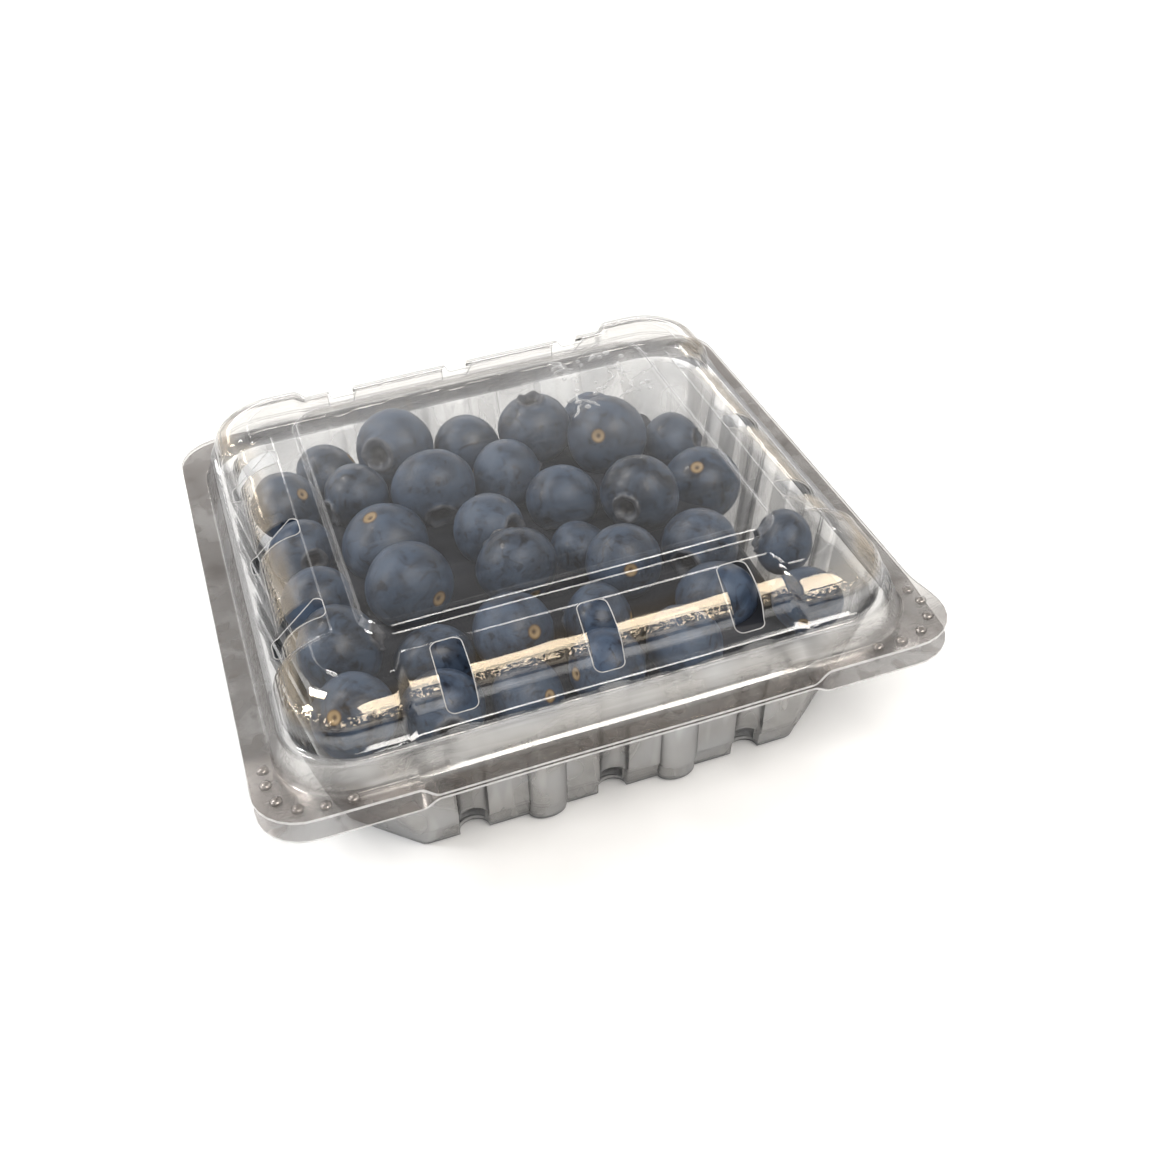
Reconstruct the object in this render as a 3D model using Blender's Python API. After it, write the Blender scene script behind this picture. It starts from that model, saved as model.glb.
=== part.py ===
"""A small hinged punnet of blueberries: clear lid, clear tray and the heap of berries inside.

Run with: blender --background --python part.py
Lengths below are millimetres and become metres when a mesh is made. +Z is up, the origin is the
middle of the tray's underside, and the front, with the two finger tabs, faces -Y.
"""

import math
import random

import bmesh
import bpy
from mathutils import Euler, Vector

MM = 0.001

# Sheet and square plan
SHEET = 0.5
FLANGE_HALF = 58.3
FLANGE_CORNER = 8.5
SIDE_END = 31.0
CORNER_ANGLES = (6, 20, 34, 41, 49, 56, 70, 84)

# Lid heights over the table and half widths
LID_TOP = 41.0
PANEL_HALF = 35.0
PANEL_CORNER = 5.0
PANEL_STEP = 1.4
PANEL_DRAFT = 1.1
PANEL_ROUND = 0.6
SIDE_ROLL = (40.6, 48.4)
SIDE_ROLL_FOOT_Z = 33.0
CORNER_ROLL = (44.4, 50.9)
CORNER_ROLL_FOOT_Z = 32.2
ROLL_STEPS = 4
ROLL_CORNERS = (9.0, 11.0)
SIDE_LEDGE = (50.0, 32.5)
SIDE_BROW = (51.3, 31.8)
CORNER_LEDGE = (51.5, 31.8)
CORNER_BROW = (51.9, 31.3)
LID_WALL_TOP = (52.1, 30.3)
LID_WALL_FOOT = (53.7, 26.25)
LID_WALL_CORNER = 11.0
LID_FOLD_HALF = 54.4
LID_FOLD_CORNER = 12.0
LID_FLANGE_Z = 25.45

# Vent slots in the lid, three on each side
SLOT_SPACING = 24.0
SLOT_WIDTH = 5.1
SLOT_INNER = 40.0
SLOT_OUTER = 49.7
SLOT_CORNER = 1.3
SLOT_CUT_Z = 29.0

# Tray heights over the table and half widths
FLOOR_FLAT_HALF = 35.0
FLOOR_FLAT_CORNER = 5.0
FLOOR_HALF = 44.0
FLOOR_RISE = 0.8
FLOOR_ROUND = 0.3
FLOOR_CORNER = 12.0
CORNER_CUT = (77.5, 94.5)
LEDGE_HALF = 46.0
LEDGE_Z = 4.8
LEDGE_STEP = (0.7, 0.4)
RIM_HALF = 50.3
RIM_Z = 30.0
RIM_ROUND = 0.4
RIM_WIDTH = 0.9
RIM_CORNER = 10.5
RIM_FOOT = (52.6, 25.3)
TRAY_FOLD_HALF = 53.4
TRAY_FLANGE_Z = 24.65

# Upright grooves and feet pressed into each wall of the tray
GROOVES = (-24.8, 0.0, 24.8)
GROOVE_DEPTH = (2.5, 0.9)
GROOVE_WIDTH = 6.8
FEET = (-11.8, 11.8)
FOOT_BULGE = (2.0, 0.5)
FOOT_WIDTH = 6.6
RIB_FLANK = 1.4
VENT_BAND = 2

# Finger tabs at the two front corners
TAB_START = 31.0
TAB_BLEND = 3.0
TAB_BACK = 38.0
TAB_FADE = 12.0
TAB_FOLD_SHARE = 0.3
LID_TAB_LIFT = 2.0
TRAY_TAB_DROP = 1.3

# Berries: a smaller core with berries fused on
CORE_HALF = 37.5
CORE_BOTTOM = 2.2
CORE_TOP = 25.5
CORE_BEVEL = 1.5
BERRY_SIZES = (13.4, 15.6)
BERRY_FLATNESS = 0.92
BERRY_SIDES = 9
BERRY_TILTS = (26, 58, 90, 122, 154)
DIMPLE_HEIGHT = 0.8
HEAP_TOP = 35.3
WALL_GAP = 0.7
HIDDEN_INSIDE = 22.0

# Lower layers, each as (places tried along a side, height, spacing); a berry goes in where it has room
LAYERS = ((12, 17.5, 6.8), (12, 8.0, 6.2))
LAYER_JITTER = 1.0
ROOM_SHARE = 0.93

# Settling: how often, how close two berries may come, how far one sinks, and how little the top ones move
SETTLE_STEPS = 80
CONTACT = 0.98
SINK = 0.03
TOP_FREEDOM = 0.25

# The top layer, each as (x, y, height, diameter), in rows from the back to the front
TOP_BERRIES = (
    (-30, 38, 23, 14.0), (-16, 36, 27, 16.2), (-3, 34, 25, 13.6), (12, 31, 27, 15.0), (26, 37, 21, 14.0),
    (-41, 28, 25, 14.0), (-27, 24, 26, 13.4), (-12, 19, 28, 16.6), (2, 21, 25, 14.6), (24, 23, 27, 16.2),
    (38, 22, 22, 12.6),
    (-40, 13, 24, 12.8), (-25, 8, 25, 16.4), (-6, 3, 26, 13.8), (10, 8, 25, 14.2), (23, 0, 28, 15.2),
    (38, 6, 22, 15.2),
    (-40, -4, 25, 13.0), (-24, -9, 28, 16.0), (-5, -12, 28, 14.8), (9, -6, 22, 13.0), (13, -18, 27, 14.0),
    (29, -15, 24, 14.4),
    (-39, -21, 27, 15.4), (-24, -25, 22, 14.4), (-10, -26, 25, 14.4), (5, -28, 24, 13.6), (26, -30, 24, 14.6),
    (41, -25, 28, 12.0),
    (-40, -38, 27, 14.4), (-26, -40, 25, 14.0), (-12, -41, 23, 13.0), (2, -41, 25, 13.4), (16, -40, 25, 13.6),
    (39, -39, 26, 12.4),
)


def corner_point(angle, half, radius, cut=math.inf):
    """Where a ray from the corner's pivot, `angle` degrees round from straight out, meets a rounded square
    whose corner is cut off straight where x and y together reach `cut`."""
    direction = Vector((math.sin(math.radians(angle)), -math.cos(math.radians(angle))))
    x, y = rounded_point(direction, half, radius)
    over = max(x - y - cut, 0.0) / (direction.x - direction.y)
    return x - over * direction.x, y - over * direction.y


def rounded_point(direction, half, radius):
    """Where the ray in `direction` from the corner's pivot meets a rounded square."""
    straight = half - radius
    out = (half - SIDE_END) / -direction.y
    if SIDE_END + out * direction.x <= straight:
        return SIDE_END + out * direction.x, -half
    across = (half - SIDE_END) / direction.x
    if SIDE_END - across * direction.y <= straight:
        return half, -SIDE_END + across * direction.y
    offset = SIDE_END - straight
    along = offset * (direction.x - direction.y)
    reach = -along + math.sqrt(along * along - 2 * offset * offset + radius * radius)
    return SIDE_END + reach * direction.x, -SIDE_END + reach * direction.y


def turned(point, quarter):
    """A plan point of the front side, carried round to one of the four sides."""
    x, y = point
    for _ in range(quarter):
        x, y = -y, x
    return x, y


def plan_columns(side_positions):
    """Every column of a sheet, going round: (quarter, side position or None, corner angle or None)."""
    columns = []
    for quarter in range(4):
        columns += [(quarter, position, None) for position in side_positions]
        columns += [(quarter, None, angle) for angle in CORNER_ANGLES]
    return columns


def tab_weight(x, y):
    """1 on the two front corner tabs, 0 elsewhere, with a short blend between."""
    sideways = min(max((abs(x) - TAB_START) / TAB_BLEND, 0.0), 1.0)
    forward = min(max((-y - TAB_BACK) / TAB_FADE, 0.0), 1.0)
    return sideways * forward


def sheet_object(name, columns, rings, skip=lambda band, column: False):
    """A thin sheet lofted through rings of points, closed at the middle and thickened to SHEET."""
    bm = bmesh.new()
    loops = []
    for ring in rings:
        loops.append([bm.verts.new(Vector(ring(column)) * MM) for column in columns])
    count = len(columns)
    bm.faces.new(loops[0])
    for band in range(len(rings) - 1):
        inner, outer = loops[band], loops[band + 1]
        for c in range(count):
            if skip(band, columns[c]):
                continue
            n = (c + 1) % count
            bm.faces.new((inner[c], outer[c], outer[n], inner[n]))
    bmesh.ops.recalc_face_normals(bm, faces=bm.faces)
    mesh = bpy.data.meshes.new(name)
    bm.to_mesh(mesh)
    bm.free()
    obj = bpy.data.objects.new(name, mesh)
    bpy.context.collection.objects.link(obj)
    thick = obj.modifiers.new("sheet", "SOLIDIFY")
    thick.thickness = SHEET * MM
    thick.offset = 0.0
    thick.use_even_offset = True
    return obj


def finish(obj, colour, roughness, alpha=1.0):
    """Give an object its own Principled material and smooth shading with sharp folds."""
    material = bpy.data.materials.new(obj.name)
    material.use_nodes = True
    shader = material.node_tree.nodes["Principled BSDF"]
    shader.inputs["Base Color"].default_value = (*colour, 1.0)
    shader.inputs["Roughness"].default_value = roughness
    shader.inputs["Metallic"].default_value = 0.0
    shader.inputs["Alpha"].default_value = alpha
    obj.data.materials.append(material)
    obj.data.shade_smooth()
    obj.data.set_sharp_from_angle(angle=math.radians(35))


def roll(start, foot, start_z, foot_z):
    """Half width and height down the quarter-round shoulder, from its top to its foot."""
    points = []
    for step in range(ROLL_STEPS + 1):
        turn = math.radians(90 * step / ROLL_STEPS)
        width = start + (foot - start) * math.sin(turn)
        points.append((width, foot_z + (start_z - foot_z) * math.cos(turn)))
    return points


def shaped_ring(side, corner, radius, side_shift=lambda position: 0.0, tab=0.0, cut=math.inf):
    """A ring of the sheet: its (half width, height) along the sides and at the corners, its corner radius,
    and where its corners are cut. side_shift moves the wall out along a side, and tab lifts the two front
    corners."""

    def ring(column):
        quarter, position, angle = column
        if angle is None:
            half, z = side
            x, y = turned((position, -half - side_shift(position)), quarter)
        else:
            half, z = corner
            x, y = turned(corner_point(angle, half, radius, cut), quarter)
        return x, y, z + tab * tab_weight(x, y)

    return ring


def lid_rings():
    """The lid's rings from the raised panel out to the flange's edge."""
    top = LID_TOP - SHEET / 2
    plateau = top - PANEL_STEP
    inner, foot = PANEL_HALF - PANEL_ROUND, PANEL_HALF + PANEL_DRAFT
    rings = [
        shaped_ring((inner, top), (inner, top), PANEL_CORNER - PANEL_ROUND),
        shaped_ring((PANEL_HALF, top - PANEL_ROUND / 2), (PANEL_HALF, top - PANEL_ROUND / 2), PANEL_CORNER),
        shaped_ring((foot, plateau), (foot, plateau), PANEL_CORNER + PANEL_DRAFT),
    ]
    side_roll = roll(*SIDE_ROLL, plateau, SIDE_ROLL_FOOT_Z)
    corner_roll = roll(*CORNER_ROLL, plateau, CORNER_ROLL_FOOT_Z)
    for step, (side, corner) in enumerate(zip(side_roll, corner_roll)):
        radius = ROLL_CORNERS[0] + (ROLL_CORNERS[1] - ROLL_CORNERS[0]) * step / ROLL_STEPS
        rings.append(shaped_ring(side, corner, radius))
    fold, edge = (LID_FOLD_HALF, LID_FLANGE_Z), (FLANGE_HALF, LID_FLANGE_Z)
    rings += [
        shaped_ring(SIDE_LEDGE, CORNER_LEDGE, LID_WALL_CORNER),
        shaped_ring(SIDE_BROW, CORNER_BROW, LID_WALL_CORNER),
        shaped_ring(LID_WALL_TOP, LID_WALL_TOP, LID_WALL_CORNER),
        shaped_ring(LID_WALL_FOOT, LID_WALL_FOOT, LID_FOLD_CORNER),
        shaped_ring(fold, fold, LID_FOLD_CORNER, tab=LID_TAB_LIFT * TAB_FOLD_SHARE),
        shaped_ring(edge, edge, FLANGE_CORNER, tab=LID_TAB_LIFT),
    ]
    return rings


def slot_outline():
    """Plan outline of the front side's middle slot: a strip with small round corners."""
    half = SLOT_WIDTH / 2 - SLOT_CORNER
    inner, outer = -SLOT_INNER - SLOT_CORNER, -SLOT_OUTER + SLOT_CORNER
    outline = []
    for quarter, (x, y) in enumerate(((half, inner), (-half, inner), (-half, outer), (half, outer))):
        for step in range(4):
            turn = math.radians(90 * quarter + 30 * step)
            outline.append((x + SLOT_CORNER * math.cos(turn), y + SLOT_CORNER * math.sin(turn)))
    return outline


def slot_cutter():
    """One guide object holding the twelve prisms that cut the vent slots."""
    bm = bmesh.new()
    outline = slot_outline()
    for quarter in range(4):
        for middle in (-SLOT_SPACING, 0.0, SLOT_SPACING):
            base = []
            for x, y in outline:
                px, py = turned((x + middle, y), quarter)
                base.append(bm.verts.new(Vector((px, py, SLOT_CUT_Z)) * MM))
            face = bm.faces.new(base)
            raised = bmesh.ops.extrude_face_region(bm, geom=[face])["geom"]
            verts = [item for item in raised if isinstance(item, bmesh.types.BMVert)]
            bmesh.ops.translate(bm, verts=verts, vec=(0, 0, (LID_TOP - SLOT_CUT_Z) * MM))
    bmesh.ops.recalc_face_normals(bm, faces=bm.faces)
    mesh = bpy.data.meshes.new("slot_cutter")
    bm.to_mesh(mesh)
    bm.free()
    cutter = bpy.data.objects.new("slot_cutter", mesh)
    bpy.context.collection.objects.link(cutter)
    cutter.hide_render = True
    cutter.display_type = "WIRE"
    return cutter


def make_lid():
    """The hinged lid: raised panel, rolled shoulder, corner domes, vent slots, wall and flange."""
    lid = sheet_object("lid", plan_columns((-SIDE_END, SIDE_END)), lid_rings())
    cut = lid.modifiers.new("slots", "BOOLEAN")
    cut.operation = "DIFFERENCE"
    cut.solver = "EXACT"
    cut.object = slot_cutter()
    finish(lid, (0.86, 0.88, 0.87), 0.06, 0.3)
    return lid


def rib_positions():
    """Places along a tray wall where its outline bends, and how far in or out each rib stands there."""
    shape = [(-SIDE_END, 0, 0), (SIDE_END, 0, 0)]
    for middles, width, kind in ((GROOVES, GROOVE_WIDTH, (1, 0)), (FEET, FOOT_WIDTH, (0, 1))):
        for middle in middles:
            for sign in (-1, 1):
                shape.append((middle + sign * width / 2, 0, 0))
                shape.append((middle + sign * (width / 2 - RIB_FLANK), *kind))
    return {position: (groove, foot) for position, groove, foot in sorted(shape)}


def corner_cut(z):
    """Where the tray's corners are cut at a height: most at the floor, not at all at the rim."""
    low, high = CORNER_CUT
    return low + (high - low) * z / RIM_Z


def tray_rings(ribs):
    """The tray's rings from its floor up the ribbed wall, over the rim and out along the flange."""

    def ribbed(share):
        """How far the wall stands out at a side position: grooves in, feet out, less towards the rim."""
        depth = GROOVE_DEPTH[1] + (GROOVE_DEPTH[0] - GROOVE_DEPTH[1]) * share
        bulge = FOOT_BULGE[1] + (FOOT_BULGE[0] - FOOT_BULGE[1]) * share
        return lambda position: bulge * ribs[position][1] - depth * ribs[position][0]

    def ring(half, z, corner, tab=0.0, **shift):
        cut = corner_cut(z) if half < RIM_HALF else math.inf
        return shaped_ring((half, z), (half, z), corner, tab=tab, cut=cut, **shift)

    floor = SHEET / 2
    edge = floor + FLOOR_RISE
    rim_top = RIM_CORNER + 1
    step_out, step_up = LEDGE_STEP
    return [
        ring(FLOOR_FLAT_HALF, floor, FLOOR_FLAT_CORNER),
        ring(FLOOR_HALF, edge, FLOOR_CORNER, side_shift=ribbed(1.0)),
        ring(FLOOR_HALF + FLOOR_ROUND, edge + FLOOR_ROUND, FLOOR_CORNER, side_shift=ribbed(1.0)),
        ring(LEDGE_HALF - step_out, LEDGE_Z - step_up, FLOOR_CORNER, side_shift=ribbed(1.0)),
        ring(LEDGE_HALF, LEDGE_Z, FLOOR_CORNER, side_shift=ribbed(1.0)),
        ring(RIM_HALF, RIM_Z - RIM_ROUND, RIM_CORNER, side_shift=ribbed(0.0)),
        ring(RIM_HALF + RIM_ROUND, RIM_Z, RIM_CORNER),
        ring(RIM_HALF + RIM_WIDTH, RIM_Z - RIM_ROUND, RIM_CORNER),
        ring(*RIM_FOOT, rim_top),
        ring(TRAY_FOLD_HALF, TRAY_FLANGE_Z, rim_top, tab=-TRAY_TAB_DROP * TAB_FOLD_SHARE),
        ring(FLANGE_HALF, TRAY_FLANGE_Z, FLANGE_CORNER, tab=-TRAY_TAB_DROP),
    ]


def make_tray():
    """The tray: flat floor, ribbed walls with low vents in the grooves, raised rim and flange."""
    ribs = rib_positions()
    vent_starts = {middle - GROOVE_WIDTH / 2 + RIB_FLANK for middle in GROOVES}

    def vent(band, column):
        return band == VENT_BAND and column[1] in vent_starts

    tray = sheet_object("tray", plan_columns(tuple(ribs)), tray_rings(ribs), vent)
    finish(tray, (0.84, 0.86, 0.85), 0.08, 0.3)
    return tray


def wall_limit(z):
    """Half width of the clear room for berries at a height inside the tray."""
    share = min(max((z - LEDGE_Z) / (RIM_Z - LEDGE_Z), 0.0), 1.0)
    low = LEDGE_HALF - LEDGE_STEP[0]
    half = low + share * (RIM_HALF - low)
    depth = GROOVE_DEPTH[0] + share * (GROOVE_DEPTH[1] - GROOVE_DEPTH[0])
    return half - depth - WALL_GAP


def keep_inside(spot, radius):
    """Move a berry's middle so that the berry stays clear of the tray's walls, corners and floor."""
    spot.z = max(spot.z, SHEET + WALL_GAP / 2 + radius)
    limit = wall_limit(spot.z) - radius
    spot.x = min(max(spot.x, -limit), limit)
    spot.y = min(max(spot.y, -limit), limit)
    corner = limit - (FLOOR_CORNER - radius)
    over = Vector((max(abs(spot.x) - corner, 0.0), max(abs(spot.y) - corner, 0.0)))
    room = FLOOR_CORNER - radius
    if min(over) > 0 and over.length > room:
        over *= room / over.length
        spot.x = math.copysign(corner + over.x, spot.x)
        spot.y = math.copysign(corner + over.y, spot.y)
    clear = corner_cut(spot.z) - math.sqrt(2) * (radius + WALL_GAP + SHEET)
    over = (abs(spot.x) + abs(spot.y) - clear) / 2
    if over > 0:
        spot.x -= math.copysign(over, spot.x)
        spot.y -= math.copysign(over, spot.y)


def heap_of_berries():
    """Every berry as [middle, diameter, freedom]: the top layer by hand, the rest wherever there is room."""
    dice = random.Random(7)
    berries = [[Vector(entry[:3]), entry[3], TOP_FREEDOM] for entry in TOP_BERRIES]
    for count, height, pitch in LAYERS:
        for row in range(count):
            for place in range(count):
                x = (place - (count - 1) / 2) * pitch + dice.uniform(-LAYER_JITTER, LAYER_JITTER)
                y = (row - (count - 1) / 2) * pitch + dice.uniform(-LAYER_JITTER, LAYER_JITTER)
                spot = Vector((x, y, height + dice.uniform(-1, 1)))
                size = dice.uniform(*BERRY_SIZES)
                keep_inside(spot, size / 2)
                if all((spot - other).length > ROOM_SHARE * (size + wide) / 2 for other, wide, _ in berries):
                    berries.append([spot, size, 1.0])
    for _ in range(SETTLE_STEPS):
        push_apart(berries)
        for spot, size, _ in berries:
            spot.z = min(spot.z, HEAP_TOP - size / 2)
            keep_inside(spot, size / 2)
    return berries


def push_apart(berries):
    """One settling step: loose berries sink a little, then each pair that crosses moves apart."""
    for i, (spot, size, freedom) in enumerate(berries):
        if freedom == 1.0:
            spot.z -= SINK
        for other, wide, give in berries[:i]:
            apart = spot - other
            short = CONTACT * (size + wide) / 2 - apart.length
            if short > 0:
                push = apart.normalized() * short / (freedom + give)
                spot += push * freedom
                other -= push * give


def berry_mesh(size):
    """A berry with few sides: slightly flat, with a dimple inside the crown at its top."""
    radius = size / 2
    bm = bmesh.new()
    rings = []
    for tilt in BERRY_TILTS:
        turn = math.radians(tilt)
        ring = []
        for side in range(BERRY_SIDES):
            spin = math.radians(360 * side / BERRY_SIDES)
            flat = radius * math.sin(turn)
            point = (flat * math.cos(spin), flat * math.sin(spin), radius * BERRY_FLATNESS * math.cos(turn))
            ring.append(bm.verts.new(Vector(point) * MM))
        rings.append(ring)
    dimple = bm.verts.new((0, 0, radius * BERRY_FLATNESS * DIMPLE_HEIGHT * MM))
    bottom = bm.verts.new((0, 0, -radius * BERRY_FLATNESS * MM))
    for side in range(BERRY_SIDES):
        after = (side + 1) % BERRY_SIDES
        bm.faces.new((dimple, rings[0][side], rings[0][after]))
        for upper, lower in zip(rings, rings[1:]):
            bm.faces.new((upper[side], lower[side], lower[after], upper[after]))
        bm.faces.new((bottom, rings[-1][after], rings[-1][side]))
    bmesh.ops.recalc_face_normals(bm, faces=bm.faces)
    mesh = bpy.data.meshes.new("berry")
    bm.to_mesh(mesh)
    bm.free()
    return mesh


def core_object():
    """The plain core that the showing berries are fused to."""
    bm = bmesh.new()
    bmesh.ops.create_cube(bm, size=1.0)
    size = Vector((2 * CORE_HALF, 2 * CORE_HALF, CORE_TOP - CORE_BOTTOM)) * MM
    bmesh.ops.scale(bm, vec=size, verts=bm.verts)
    bmesh.ops.translate(bm, vec=(0, 0, (CORE_TOP + CORE_BOTTOM) / 2 * MM), verts=bm.verts)
    bmesh.ops.bevel(bm, geom=bm.edges, offset=CORE_BEVEL * MM, segments=1, affect="EDGES")
    mesh = bpy.data.meshes.new("berries")
    bm.to_mesh(mesh)
    bm.free()
    core = bpy.data.objects.new("berries", mesh)
    bpy.context.collection.objects.link(core)
    return core


def keep_outer_skin(obj):
    """Fill sealed hollows and drop loose scraps: only the largest connected skin stays."""
    bm = bmesh.new()
    bm.from_mesh(obj.data)
    left = set(bm.verts)
    skins = []
    while left:
        skin, edge = set(), [left.pop()]
        while edge:
            vert = edge.pop()
            skin.add(vert)
            for link in vert.link_edges:
                other = link.other_vert(vert)
                if other in left:
                    left.remove(other)
                    edge.append(other)
        skins.append(skin)
    largest = max(skins, key=len)
    bmesh.ops.delete(bm, geom=[vert for vert in bm.verts if vert not in largest], context="VERTS")
    bmesh.ops.dissolve_degenerate(bm, dist=0.00001, edges=bm.edges)
    bmesh.ops.triangulate(bm, faces=bm.faces)
    bm.to_mesh(obj.data)
    bm.free()


def make_berries():
    """The heap: the core joined with every berry that shows at the top or through the clear walls."""
    dice = random.Random(11)
    core = core_object()
    group = bpy.data.collections.new("showing_berries")
    bpy.context.scene.collection.children.link(group)
    for spot, size, freedom in heap_of_berries():
        if freedom == 1.0 and max(abs(spot.x), abs(spot.y)) < HIDDEN_INSIDE:
            continue
        berry = bpy.data.objects.new("berry", berry_mesh(size))
        berry.location = spot * MM
        berry.rotation_euler = Euler([dice.uniform(-1.2, 1.2), dice.uniform(-1.2, 1.2), dice.uniform(0, 3)])
        group.objects.link(berry)
    join = core.modifiers.new("fuse", "BOOLEAN")
    join.operation = "UNION"
    join.operand_type = "COLLECTION"
    join.solver = "EXACT"
    join.collection = group
    bpy.context.view_layer.objects.active = core
    bpy.ops.object.modifier_apply(modifier=join.name)
    for berry in list(group.objects):
        bpy.data.objects.remove(berry)
    bpy.data.collections.remove(group)
    keep_outer_skin(core)
    finish(core, (0.05, 0.07, 0.13), 0.55)
    return core


for old in list(bpy.data.objects):
    bpy.data.objects.remove(old)

make_lid()
make_tray()
make_berries()
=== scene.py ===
import math
import random

import bpy
from mathutils import Matrix, Quaternion, Vector, noise


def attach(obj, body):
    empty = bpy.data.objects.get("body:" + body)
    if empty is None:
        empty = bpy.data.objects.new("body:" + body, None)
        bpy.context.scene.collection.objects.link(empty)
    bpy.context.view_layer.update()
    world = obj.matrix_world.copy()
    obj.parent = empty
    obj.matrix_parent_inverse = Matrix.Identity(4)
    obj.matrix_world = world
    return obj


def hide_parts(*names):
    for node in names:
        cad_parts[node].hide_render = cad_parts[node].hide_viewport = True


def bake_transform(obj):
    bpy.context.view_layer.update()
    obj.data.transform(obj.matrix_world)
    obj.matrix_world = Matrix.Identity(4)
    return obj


print("Loading the frame")
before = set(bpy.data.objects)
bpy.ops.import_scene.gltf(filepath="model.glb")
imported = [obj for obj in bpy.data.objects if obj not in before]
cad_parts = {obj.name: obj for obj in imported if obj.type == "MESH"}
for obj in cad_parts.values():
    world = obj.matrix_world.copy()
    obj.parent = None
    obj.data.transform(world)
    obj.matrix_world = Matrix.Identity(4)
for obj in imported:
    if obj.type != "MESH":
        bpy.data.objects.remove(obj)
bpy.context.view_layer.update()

# Lengths below are millimetres, and mm turns them into Blender's metres
mm = 0.001

view = {
    "position": (-47.84, -207.22, 181.34),
    "azimuth": -15.8,
    "elevation": 38.58,
    "roll": -4.83,
    "lens": 43.41,
}

pack = {
    "sideEnd": 31.0,            # the straight middle of each side ends here, and the corner dome starts
    "sideSpacing": 1.0,
    "domeStep": 8.0,            # degrees over which a side turns into its corner dome
    "cornerSpacing": 3.2,       # degrees between the columns round a corner
    "flangeHalf": 58.3,
    "flangeCorner": 8.5,
    "tabStart": 31.0,
    "tabBlend": 3.0,
    "tabBack": 38.0,
    "tabFade": 12.0,
    "waveSize": 0.16,           # the formed sheet is never quite flat
    "waveLength": 26.0,
    "crinkleSize": 0.05,
    "crinkleLength": 3.6,
    "uncut": 200.0,             # a corner cut this far out takes nothing off
}


def deselectAll():
    bpy.ops.object.select_all(action="DESELECT")


def pick(piece):
    deselectAll()
    piece.select_set(True)
    bpy.context.view_layer.objects.active = piece


def applyModifier(piece, name, kind, **settings):
    pick(piece)
    modifier = piece.modifiers.new(name, kind)
    for key, value in settings.items():
        setattr(modifier, key, value)
    bpy.ops.object.modifier_apply(modifier=name)


def joinPieces(name, parts):
    deselectAll()
    for part in parts:
        part.select_set(True)
    bpy.context.view_layer.objects.active = parts[0]
    bpy.ops.object.join()
    parts[0].name = name
    parts[0].data.name = name
    return parts[0]


def newCurve(name, radius):
    curve = bpy.data.curves.new(name, "CURVE")
    curve.dimensions = "3D"
    curve.bevel_depth = radius * mm
    curve.bevel_resolution = 2
    return curve


def curveToMesh(curve):
    piece = bpy.data.objects.new(curve.name, curve)
    bpy.context.collection.objects.link(piece)
    pick(piece)
    bpy.ops.object.convert(target="MESH")
    return bpy.context.object


def smoothShare(share):
    share = min(max(share, 0.0), 1.0)
    return share * share * (3 - 2 * share)


# Shader helpers: one class wraps a socket
class Wire:
    def __init__(self, tree, socket=None):
        self.tree = tree
        self.socket = socket

    def node(self, kind, settings, values, out=0):
        made = self.tree.nodes.new("ShaderNode" + kind)
        for key, value in settings.items():
            setattr(made, key, value)
        for key, value in values.items():
            if isinstance(value, Wire):
                self.tree.links.new(value.socket, made.inputs[key])
            else:
                made.inputs[key].default_value = value
        return Wire(self.tree, made.outputs[out])

    def calculate(self, operation, first, second):
        return self.node("Math", {"operation": operation}, {0: first, 1: second})

    def __add__(self, other):
        return self.calculate("ADD", self, other)

    def __sub__(self, other):
        return self.calculate("SUBTRACT", self, other)

    def __rsub__(self, other):
        return self.calculate("SUBTRACT", other, self)

    def __mul__(self, other):
        return self.calculate("MULTIPLY", self, other)

    def __pow__(self, other):
        return self.calculate("POWER", self, other)

    __radd__ = __add__
    __rmul__ = __mul__

    def between(self, low, high):
        settings = {"interpolation_type": "SMOOTHSTEP"}
        return self.node("MapRange", settings, {"Value": self, "From Min": low, "From Max": high})

    def blendColours(self, first, second):
        return self.node("Mix", {"data_type": "RGBA"}, {0: self, 6: first, 7: second}, 2)

    def noise(self, spot, scale, detail=2.0, distortion=0.0):
        values = {"Vector": spot, "Scale": scale, "Detail": detail, "Distortion": distortion}
        return self.node("TexNoise", {}, values, "Fac")


def newMaterial(name):
    material = bpy.data.materials.new(name)
    material.use_nodes = True
    material.node_tree.nodes.clear()
    wire = Wire(material.node_tree)
    return material, wire, wire.node("TexCoord", {}, {}, "Object")


def showSurface(wire, shader, kind="Material"):
    output = wire.tree.nodes.new("ShaderNodeOutput" + kind)
    wire.tree.links.new(shader.socket, output.inputs["Surface"])


# Camera and room
print("Placing the camera and the lights")


def cameraAxes():
    azimuth, elevation = math.radians(view["azimuth"]), math.radians(view["elevation"])
    back = Vector((
        math.sin(azimuth) * math.cos(elevation),
        -math.cos(azimuth) * math.cos(elevation),
        math.sin(elevation),
    ))
    right = (-back).cross(Vector((0, 0, 1))).normalized()
    turn = Quaternion(back, math.radians(view["roll"]))
    return turn @ right, turn @ right.cross(-back), back


cameraRight, cameraUp, cameraBack = cameraAxes()


def makeCamera():
    bpy.ops.object.camera_add()
    camera = bpy.context.object
    axes = Matrix((cameraRight, cameraUp, cameraBack)).transposed().to_4x4()
    camera.matrix_world = Matrix.Translation(Vector(view["position"]) * mm) @ axes
    camera.data.sensor_width = 36
    camera.data.lens = view["lens"]
    camera.data.clip_start = 0.01
    bpy.context.scene.camera = camera


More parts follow.
